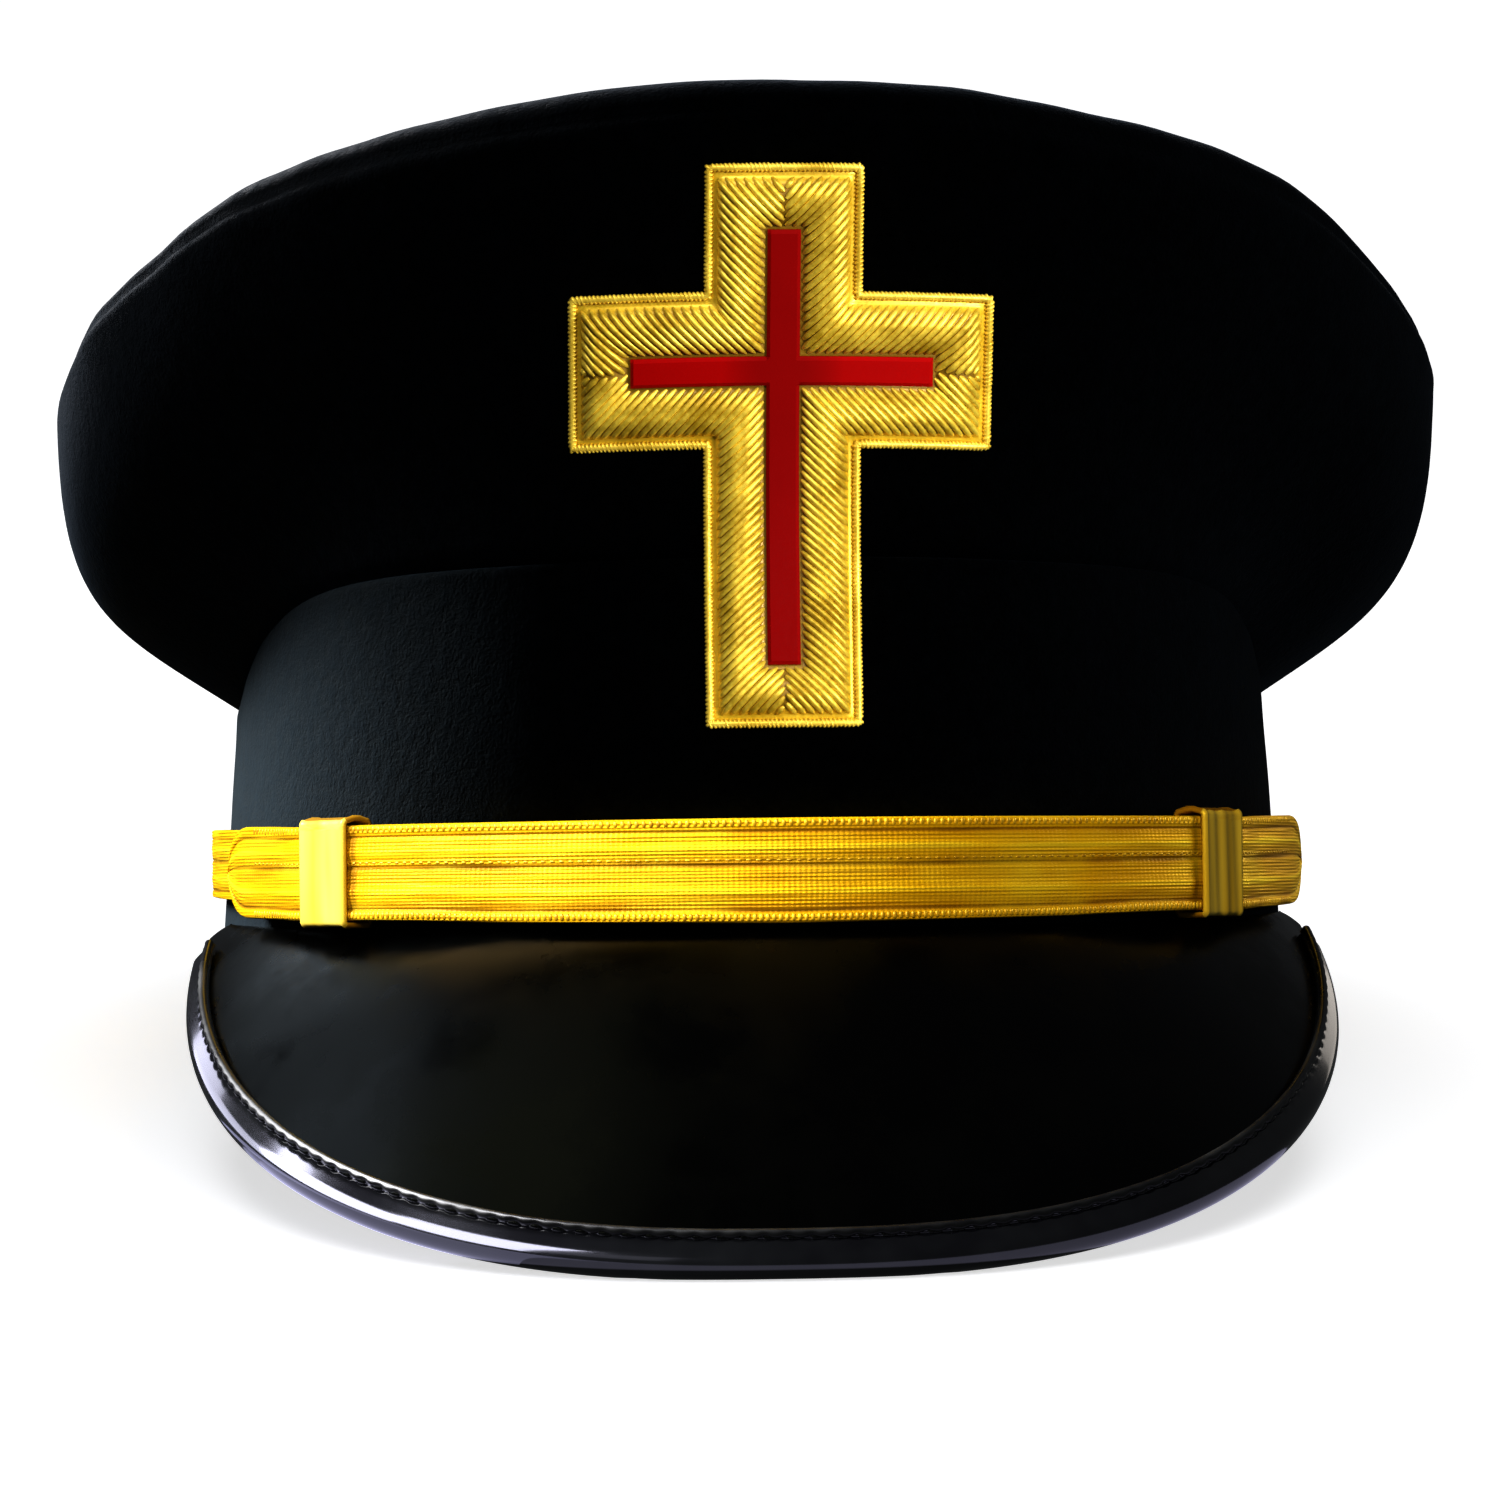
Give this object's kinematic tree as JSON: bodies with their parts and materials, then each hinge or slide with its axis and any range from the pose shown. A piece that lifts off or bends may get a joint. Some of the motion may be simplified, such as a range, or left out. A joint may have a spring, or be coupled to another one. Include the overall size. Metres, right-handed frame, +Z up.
{
  "type": "fatigue cap",
  "caption": "Soft black cloth cap with a full flared crown, shaped band, patent visor, gold lace strap with slides and an embroidered cross badge.",
  "frame": {"origin": "on the surface that the cap rests on, under the centre of its bounding box", "axes": "+Z up, the visor and badge towards -Y, +X to the right as the badge is seen from the front"},
  "size_m": [0.2344, 0.2812, 0.1656],
  "materials": {
    "cloth": "black wool cloth, brushed nap",
    "patent": "black patent leather, glossy",
    "lace": "woven gold lace",
    "gilt": "gilt metal, polished",
    "bullion": "gold bullion embroidery",
    "red": "flat red felt"
  },
  "bodies": {
    "root": {"crown": "cloth", "band": "cloth", "visor": "patent", "visor_binding": "patent", "strap_front": "lace", "strap_under_left": "lace", "strap_under_right": "lace", "slide_left": "lace", "slide_right": "lace", "button_left": "gilt", "button_right": "gilt", "cross_border": "bullion", "cross_field": "bullion", "cross_inlay": "red"}
  },
  "joints": []
}
